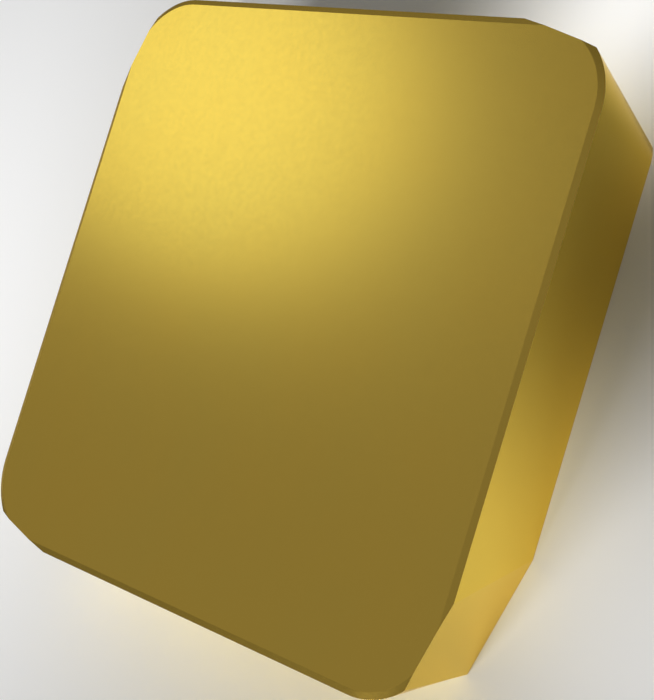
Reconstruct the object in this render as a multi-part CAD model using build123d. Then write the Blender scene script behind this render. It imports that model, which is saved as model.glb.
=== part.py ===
from build123d import *
from math import cos, radians, sin, sqrt, tan
import os

# Square milling insert with positive flanks: one pressed, sintered and ground carbide plate.
# Millimetres and degrees. The origin is the middle of the bottom seat, and +Z is up through
# the rake face. Going clockwise as seen from above, each side ends in a flat wiper facet, and
# the facet in a nose radius that leads into the next side. So all four edges cut one way round.

inscribed_circle = 12.7  # between opposite cutting edges
thickness = 3.18  # from the bottom seat to the rake face
nose_radius = 1.6  # corner radius at the cutting edge
flank_clearance = 11.0  # lean of the four flanks from upright, inwards going down

land_width = 0.13  # chamfer inside the cutting edge, seen from above
land_angle = 20.0  # fall of that chamfer from the rake face

wiper_length = 1.77  # of a wiper facet along the cutting edge
wiper_angle = 15.0  # turn of the facet from the side that it starts on, seen from above
wiper_clearance = 15.0  # lean of the facet from upright, inwards going down

corner_count = 4
corner_turn = 360 / corner_count

half_side = inscribed_circle / 2
edge_height = thickness - land_width * tan(radians(land_angle))
cutting_plane = Plane.XY.offset(edge_height)


def drafted_slab(depth, lean):
    """Slab that stands on the cutting edge's outline, with its sides leaning by an angle."""
    outline = RectangleRounded(inscribed_circle, inscribed_circle, nose_radius)
    slab = extrude(cutting_plane * outline, depth)
    sides = slab.faces().filter_by(Axis.Z, reverse=True)
    return draft(sides, cutting_plane, lean)


def flanks():
    """Carbide below the cutting edge, which narrows down to the bottom seat."""
    return drafted_slab(-edge_height, -flank_clearance)


def land():
    """Carbide above the cutting edge: the chamfered land round the rake face."""
    return drafted_slab(thickness - edge_height, 90 - land_angle)


def facet_start():
    """Where a facet of the wanted length leaves the straight side, to end on the nose radius."""
    along = wiper_length * cos(radians(wiper_angle))
    inwards = wiper_length * sin(radians(wiper_angle))
    nose_centre = half_side - nose_radius
    nose_reach = sqrt(inwards * (2 * nose_radius - inwards))
    return Vector(nose_centre + nose_reach - along, half_side, edge_height)


def wiper_plane(corner):
    """Plane of one wiper facet. Its normal points out of the carbide and a little down."""
    turn = radians(wiper_angle)
    lean = radians(wiper_clearance)
    outwards = Vector(sin(turn) * cos(lean), cos(turn) * cos(lean), -sin(lean))
    first = Plane(origin=facet_start(), z_dir=outwards)
    return Plane(Rotation(0, 0, -corner * corner_turn) * first.location)


def carbide_insert():
    """Flanks and land in one piece, with a wiper facet ground across each corner."""
    insert = flanks() + land()
    for corner in range(corner_count):
        insert = split(insert, bisect_by=wiper_plane(corner), keep=Keep.BOTTOM)
    return insert


os.makedirs("parts", exist_ok=True)
export_step(carbide_insert(), "parts/carbide_insert.step")
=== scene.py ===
from math import atan2, cos, pi, radians, sin, tan

import bmesh
import bpy
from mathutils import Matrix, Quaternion, Vector


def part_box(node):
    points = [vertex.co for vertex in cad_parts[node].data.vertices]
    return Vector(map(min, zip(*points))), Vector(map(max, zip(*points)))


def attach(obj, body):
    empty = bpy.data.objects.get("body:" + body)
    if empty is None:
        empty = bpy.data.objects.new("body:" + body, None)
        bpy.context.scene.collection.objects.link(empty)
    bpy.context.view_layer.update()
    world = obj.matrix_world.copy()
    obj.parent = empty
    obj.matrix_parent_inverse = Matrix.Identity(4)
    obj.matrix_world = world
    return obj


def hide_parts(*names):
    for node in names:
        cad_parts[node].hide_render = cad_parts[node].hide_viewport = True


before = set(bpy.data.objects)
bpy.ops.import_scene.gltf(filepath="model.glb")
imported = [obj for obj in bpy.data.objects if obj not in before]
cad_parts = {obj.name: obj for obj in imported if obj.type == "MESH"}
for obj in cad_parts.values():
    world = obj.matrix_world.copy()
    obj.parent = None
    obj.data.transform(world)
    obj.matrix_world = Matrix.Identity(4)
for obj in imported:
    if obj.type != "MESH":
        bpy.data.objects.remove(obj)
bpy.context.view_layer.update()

MM = 0.001
NODE = "carbide_insert"

# The insert, in metres and radians. Its width and thickness come from the frame.
_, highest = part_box(NODE)
HALF_SIDE = highest.x
THICKNESS = highest.z
CORNER_COUNT = 4
NOSE_RADIUS = 1.6 * MM
FLANK_CLEARANCE = radians(11)
LAND_WIDTH = 0.13 * MM  # the chamfer inside the cutting edge, seen from above
LAND_ANGLE = radians(20)
WIPER_LENGTH = 1.77 * MM
WIPER_ANGLE = radians(15)  # turn of the facet from the side that it starts on
WIPER_CLEARANCE = radians(15)
EDGE_HEIGHT = THICKNESS - LAND_WIDTH * tan(LAND_ANGLE)

# Rounding of the edges by honing and by the coating
CUTTING_HONE = 0.001 * MM
RAKE_HONE = 0.003 * MM
SEAT_HONE = 0.02 * MM

# Steps of the mesh: across a hone, along half a side, along a facet and round a nose
HONE_STEPS = 5
SIDE_STEPS = 4
WIPER_STEPS = 4
NOSE_STEPS = 36

# Heights are rounded to the nanometre, so that a level which both sections have comes once.
LEVEL_DIGITS = 9

# A face whose unit normal has less height than this is ground, as the flanks are, and also gets the
# greener painted tint that offsets the warm light the gold bounces onto it. The others are lapped.
GROUND_BELOW = 0.5

# The gold coating. Its tint drifts between two colours, which share a green. On the steep ground faces
# that green is raised: a painted tint that offsets the warm light the gold bounces onto them.
TINT_RED = (0.890, 0.912)
TINT_BLUE = (0.103, 0.099)
GRAZING_TINT = (0.97, 0.86, 0.62, 1)
CLOUDS_PER_MM = 0.35
CLOUD_DETAIL = 2.0
CLOUD_RANGE = (0.3, 0.7)

# Its satin finish, and the tool marks that it covers
ROUGHNESS = 0.22
ROUGHNESS_SPREAD = 0.015
MARK_DETAIL = 3.0
MARK_FINENESS = 0.6
MARK_RANGE = (0.25, 0.75)

FLOOR_SIZE = 1.2
FLOOR_COLOR = (0.90, 0.90, 0.90, 1)

# The camera, rolled about its line of sight. Angles are in degrees, lens and sensor in millimetres.
CAMERA_TARGET = Vector((0.605, -0.415, 1.59)) * MM
CAMERA_DISTANCE = 30.07 * MM
CAMERA_AZIMUTH = -3.893
CAMERA_ELEVATION = 49.262
CAMERA_ROLL = -70.047
CAMERA_LENS = 75.0
CAMERA_SENSOR = 36.0
NEAREST_SEEN = MM
FURTHEST_SEEN = 2

# How far a spot is from the place on the floor that it lights
SPOT_DISTANCE = 0.12


def rounded_profile(corners, radii):
    """Points (reach, height) of the arcs that round the inner corners of an open line, one radius each."""
    line = []
    for before, corner, after, radius in zip(corners, corners[1:], corners[2:], radii):
        here = Vector(corner)
        back = (Vector(before) - here).normalized()
        on = (Vector(after) - here).normalized()
        half_angle = back.angle(on) / 2
        centre = here + (back + on).normalized() * (radius / sin(half_angle))
        start = here + back * (radius / tan(half_angle)) - centre
        end = here + on * (radius / tan(half_angle)) - centre
        turn = start.angle_signed(end)
        for step in range(HONE_STEPS + 1):
            angle = atan2(start.y, start.x) - turn * step / HONE_STEPS
            line.append((centre.x + radius * cos(angle), centre.y + radius * sin(angle)))
    return line


def reach_at(profile, height):
    """Reach of a profile at a height, between the two points that lie round it."""
    for (reach_a, height_a), (reach_b, height_b) in zip(profile, profile[1:]):
        if height_a <= height <= height_b and height_b > height_a:
            return reach_a + (reach_b - reach_a) * (height - height_a) / (height_b - height_a)
    return profile[0][0] if height <= profile[0][1] else profile[-1][0]


def flank_profile():
    """Section through a flank and its land. Reach is counted outwards from the cutting edge."""
    foot = -EDGE_HEIGHT * tan(FLANK_CLEARANCE)
    corners = [
        (foot - MM, 0),
        (foot, 0),
        (0, EDGE_HEIGHT),
        (-LAND_WIDTH, THICKNESS),
        (-LAND_WIDTH - MM, THICKNESS),
    ]
    return rounded_profile(corners, [SEAT_HONE, CUTTING_HONE, RAKE_HONE])


def wiper_profile():
    """Section through a wiper facet, which runs straight from the seat to the rake face."""
    foot = -EDGE_HEIGHT * tan(WIPER_CLEARANCE)
    head = (THICKNESS - EDGE_HEIGHT) * tan(WIPER_CLEARANCE)
    corners = [(foot - MM, 0), (foot, 0), (head, THICKNESS), (head - MM, THICKNESS)]
    return rounded_profile(corners, [SEAT_HONE, CUTTING_HONE])


def wiper_distance():
    """Distance from the insert's axis to a wiper facet, at the height of the cutting edge."""
    along = WIPER_LENGTH * cos(WIPER_ANGLE)
    inwards = WIPER_LENGTH * sin(WIPER_ANGLE)
    nose_reach = (inwards * (2 * NOSE_RADIUS - inwards)) ** 0.5
    start = HALF_SIDE - NOSE_RADIUS + nose_reach - along
    return start * sin(WIPER_ANGLE) + HALF_SIDE * cos(WIPER_ANGLE)


def between(a, b, steps):
    """Points from a up to, but not with, b."""
    return [a.lerp(b, step / steps) for step in range(steps)]


def quarter_outline(side, nose, wiper):
    """A quarter of a level's outline, clockwise from the middle of the +Y side to the +X side's.

    side is the half side, nose the corner radius and wiper the facet's distance from the axis.
    """
    normal = Vector((sin(WIPER_ANGLE), cos(WIPER_ANGLE)))
    along = Vector((normal.y, -normal.x))
    centre = Vector((HALF_SIDE - NOSE_RADIUS, HALF_SIDE - NOSE_RADIUS))
    facet_start = Vector(((wiper - normal.y * side) / normal.x, side))
    out = wiper - normal.dot(centre)
    facet_end = centre + normal * out + along * (nose * nose - out * out) ** 0.5
    points = between(Vector((0, side)), facet_start, SIDE_STEPS)
    points += between(facet_start, facet_end, WIPER_STEPS)
    first_angle = atan2(facet_end.y - centre.y, facet_end.x - centre.x)
    for step in range(NOSE_STEPS):
        angle = first_angle * (1 - step / NOSE_STEPS)
        points.append(centre + Vector((cos(angle), sin(angle))) * nose)
    points += between(Vector((side, centre.y)), Vector((side, 0)), SIDE_STEPS)
    return points


def level_outline(side, nose, wiper):
    """Whole outline of a level: the quarter and its three quarter turns."""
    points = quarter_outline(side, nose, wiper)
    outline = []
    for quarter in range(CORNER_COUNT):
        turned = points
        for _ in range(quarter):
            turned = [Vector((p.y, -p.x)) for p in turned]
        outline += turned
    return outline


def corner_normals(mesh):
    """Normals of the face corners, weighted by area, so a large face shades flat up to its hone.

    A corner's normal is shared by the faces round its vertex that smooth edges join to its own.
    """
    pull = {face: face.normal * (face.calc_area() / MM**2) for face in mesh.faces}
    normals = []
    for face in mesh.faces:
        for corner in face.loops:
            fan = [face]
            rim = [face]
            while rim:
                for edge in rim.pop().edges:
                    if edge.smooth and corner.vert in edge.verts:
                        fresh = [other for other in edge.link_faces if other not in fan]
                        fan += fresh
                        rim += fresh
            normals.append(sum((pull[other] for other in fan), Vector()).normalized())
    return normals


def insert_mesh():
    """Closed mesh of the insert: a ring of points for each level, joined by quads, and two caps.

    Only the two upright edges of each facet are creases. The hones carry the shading round the others.
    """
    flank = flank_profile()
    wiper = wiper_profile()
    heights = sorted({round(max(0, min(THICKNESS, z)), LEVEL_DIGITS) for _, z in flank + wiper})
    mesh = bmesh.new()
    rings = []
    for height in heights:
        reach = reach_at(flank, height)
        distance = wiper_distance() + reach_at(wiper, height)
        outline = level_outline(HALF_SIDE + reach, NOSE_RADIUS + reach, distance)
        rings.append([mesh.verts.new((p.x, p.y, height)) for p in outline])
    count = len(rings[0])
    creases = {SIDE_STEPS, SIDE_STEPS + WIPER_STEPS}
    quarter = count // CORNER_COUNT
    for low, high in zip(rings, rings[1:]):
        for i in range(count):
            j = (i + 1) % count
            mesh.faces.new((low[j], low[i], high[i], high[j])).smooth = True
        for i in range(count):
            if i % quarter in creases:
                mesh.edges.get((low[i], high[i])).smooth = False
    mesh.faces.new(rings[0]).smooth = True
    mesh.faces.new(list(reversed(rings[-1]))).smooth = True
    bmesh.ops.recalc_face_normals(mesh, faces=mesh.faces)
    mesh.normal_update()
    for face in mesh.faces:
        # Steep faces take the ground finish, with its greener painted tint against bounced light.
        face.material_index = int(abs(face.normal.z) < GROUND_BELOW)
    normals = corner_normals(mesh)
    data = bpy.data.meshes.new("ground_insert")
    mesh.to_mesh(data)
    mesh.free()
    data.normals_split_custom_set(normals)
    return data


def gold_coating(name, green, stretch, marks_per_mm, mark_depth):
    """Gold coating over a ground or lapped face, whose tool marks show through it.

    The marks run along the axes that stretch is small on, and have no direction where it is even.
    """
    material = bpy.data.materials.new(name)
    material.use_nodes = True
    nodes = material.node_tree.nodes
    links = material.node_tree.links
    shader = nodes["Principled BSDF"]
    shader.inputs["Metallic"].default_value = 1.0
    shader.inputs["Specular Tint"].default_value = GRAZING_TINT

    place = nodes.new("ShaderNodeTexCoord")
    in_mm = nodes.new("ShaderNodeVectorMath")
    in_mm.operation = "SCALE"
    in_mm.inputs["Scale"].default_value = 1 / MM
    links.new(place.outputs["Object"], in_mm.inputs[0])

    # Cloudy drift of the coating's colour, over a few millimetres
    cloud = nodes.new("ShaderNodeTexNoise")
    cloud.inputs["Scale"].default_value = CLOUDS_PER_MM
    cloud.inputs["Detail"].default_value = CLOUD_DETAIL
    links.new(in_mm.outputs[0], cloud.inputs["Vector"])
    tint = nodes.new("ShaderNodeValToRGB")
    for stop, position, red, blue in zip(tint.color_ramp.elements, CLOUD_RANGE, TINT_RED, TINT_BLUE):
        stop.position = position
        stop.color = (red, green, blue, 1)
    links.new(cloud.outputs["Fac"], tint.inputs["Fac"])
    links.new(tint.outputs["Color"], shader.inputs["Base Color"])

    # Tool marks: a slight change of gloss and a shallow relief
    along = nodes.new("ShaderNodeVectorMath")
    along.operation = "MULTIPLY"
    along.inputs[1].default_value = stretch
    links.new(in_mm.outputs[0], along.inputs[0])
    marks = nodes.new("ShaderNodeTexNoise")
    marks.inputs["Scale"].default_value = marks_per_mm
    marks.inputs["Detail"].default_value = MARK_DETAIL
    marks.inputs["Roughness"].default_value = MARK_FINENESS
    links.new(along.outputs[0], marks.inputs["Vector"])
    gloss = nodes.new("ShaderNodeMapRange")
    gloss.inputs["From Min"].default_value = MARK_RANGE[0]
    gloss.inputs["From Max"].default_value = MARK_RANGE[1]
    gloss.inputs["To Min"].default_value = ROUGHNESS - ROUGHNESS_SPREAD
    gloss.inputs["To Max"].default_value = ROUGHNESS + ROUGHNESS_SPREAD
    links.new(marks.outputs["Fac"], gloss.inputs["Value"])
    links.new(gloss.outputs["Result"], shader.inputs["Roughness"])
    relief = nodes.new("ShaderNodeBump")
    relief.inputs["Strength"].default_value = 1.0
    relief.inputs["Distance"].default_value = mark_depth
    links.new(marks.outputs["Fac"], relief.inputs["Height"])
    links.new(relief.outputs["Normal"], shader.inputs["Normal"])
    return material


def lapped_gold():
    """Finish of the rake face, the lands and the seat: a fine even grain."""
    return gold_coating(
        "lapped_gold", green=0.603, stretch=(1, 1, 1), marks_per_mm=9.0, mark_depth=0.0002 * MM
    )


def ground_gold_and_bounce_offset_tint():
    """Finish of the flanks, the facets and the noses: grinding marks level with the cutting edge. Its
    greener colour is painted, to offset the warm light that the gold bounces onto these steep faces.
    """
    return gold_coating(
        "ground_gold_and_bounce_offset_tint", green=0.665, stretch=(0.03, 0.03, 1), marks_per_mm=11.0, mark_depth=0.0005 * MM
    )


def make_insert():
    piece = bpy.data.objects.new("ground_insert", insert_mesh())
    bpy.context.scene.collection.objects.link(piece)
    piece.data.materials.append(lapped_gold())
    piece.data.materials.append(ground_gold_and_bounce_offset_tint())
    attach(piece, "root")
    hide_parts(NODE)


def make_floor():
    """Plain pale sheet of matt paper."""
    data = bpy.data.meshes.new("floor")
    corner = FLOOR_SIZE / 2
    data.from_pydata(
        [(-corner, -corner, 0), (corner, -corner, 0), (corner, corner, 0), (-corner, corner, 0)],
        [],
        [(0, 1, 2, 3)],
    )
    floor = bpy.data.objects.new("floor", data)
    bpy.context.scene.collection.objects.link(floor)
    material = bpy.data.materials.new("floor_paper")
    material.use_nodes = True
    shader = material.node_tree.nodes["Principled BSDF"]
    shader.inputs["Base Color"].default_value = FLOOR_COLOR
    shader.inputs["Roughness"].default_value = 1.0
    shader.inputs["Specular IOR Level"].default_value = 0.0
    floor.data.materials.append(material)


def direction(azimuth, elevation):
    """Unit vector towards a place given in degrees, the azimuth anticlockwise from +X."""
    a, e = radians(azimuth), radians(elevation)
    return Vector((cos(e) * cos(a), cos(e) * sin(a), sin(e)))


def make_camera():
    away = direction(CAMERA_AZIMUTH, CAMERA_ELEVATION)
    data = bpy.data.cameras.new("camera")
    data.lens = CAMERA_LENS
    data.sensor_width = CAMERA_SENSOR
    data.clip_start = NEAREST_SEEN
    data.clip_end = FURTHEST_SEEN
    camera = bpy.data.objects.new("camera", data)
    bpy.context.scene.collection.objects.link(camera)
    camera.location = CAMERA_TARGET + away * CAMERA_DISTANCE
    camera.rotation_mode = "QUATERNION"
    roll = Quaternion((0, 0, 1), radians(CAMERA_ROLL))
    camera.rotation_quaternion = (-away).to_track_quat("-Z", "Y") @ roll
    bpy.context.scene.camera = camera


def make_world(level):
    """Even grey surroundings, where a level of 1 is white."""
    world = bpy.data.worlds.new("studio")
    world.use_nodes = True
    background = world.node_tree.nodes["Background"]
    background.inputs["Color"].default_value = (1, 1, 1, 1)
    background.inputs["Strength"].default_value = level
    bpy.context.scene.world = world


def make_lamp(name, azimuth, elevation, irradiance, width, color=(1, 1, 1)):
    """Soft lamp far away.

    Its place and its width across are in degrees, its irradiance in watts a square metre.
    """
    data = bpy.data.lights.new(name, "SUN")
    data.energy = irradiance
    data.angle = radians(width)
    data.color = color
    lamp = bpy.data.objects.new(name, data)
    bpy.context.scene.collection.objects.link(lamp)
    lamp.rotation_mode = "QUATERNION"
    lamp.rotation_quaternion = direction(azimuth, elevation).to_track_quat("Z", "Y")


def make_spot(name, azimuth, elevation, strength, target, reach, radius):
    """Soft-edged spot over a place on the floor.

    target is that place, reach is how far from it the light fades out, and radius is the lamp's own,
    all in mm. strength is the lamp's power spread over a sphere of radius SPOT_DISTANCE, in watts a
    square metre.
    """
    away = direction(azimuth, elevation)
    data = bpy.data.lights.new(name, "SPOT")
    data.energy = strength * 4 * pi * SPOT_DISTANCE**2
    data.spot_size = 2 * atan2(reach * MM, SPOT_DISTANCE)
    data.spot_blend = 1.0
    data.shadow_soft_size = radius * MM
    lamp = bpy.data.objects.new(name, data)
    bpy.context.scene.collection.objects.link(lamp)
    lamp.location = Vector((*target, 0)) * MM + away * SPOT_DISTANCE
    lamp.rotation_mode = "QUATERNION"
    lamp.rotation_quaternion = away.to_track_quat("Z", "Y")


def make_lamps():
    # The sheen on the rake face, and the soft light round it
    make_lamp(
        "sheen_lamp", azimuth=165, elevation=41.2, irradiance=0.0575, width=14.8, color=(0.965, 1.09, 1.07)
    )
    make_lamp("overhead_panel", azimuth=176, elevation=60, irradiance=0.152, width=80)
    make_lamp("fill_panel", azimuth=315, elevation=18, irradiance=0.2, width=60)
    make_lamp("back_fill", azimuth=135, elevation=22, irradiance=0.02, width=40)
    make_lamp("front_softbox", azimuth=254, elevation=17, irradiance=2.6, width=24)

    # Pools of light on the floor, which the flanks, facets, noses and lands mirror
    make_spot(
        "side_spot", azimuth=338, elevation=35, strength=1.72, target=(8.7, -3.9), reach=4.3, radius=2
    )
    make_spot("back_spot", azimuth=55, elevation=40, strength=4.8, target=(4.2, 8), reach=3, radius=2)
    make_spot("left_spot", azimuth=282, elevation=42, strength=2.9, target=(-15, -1), reach=14, radius=8)


make_insert()
make_floor()
make_camera()
make_world(level=0.14)
make_lamps()

bpy.context.scene.view_settings.view_transform = "Standard"
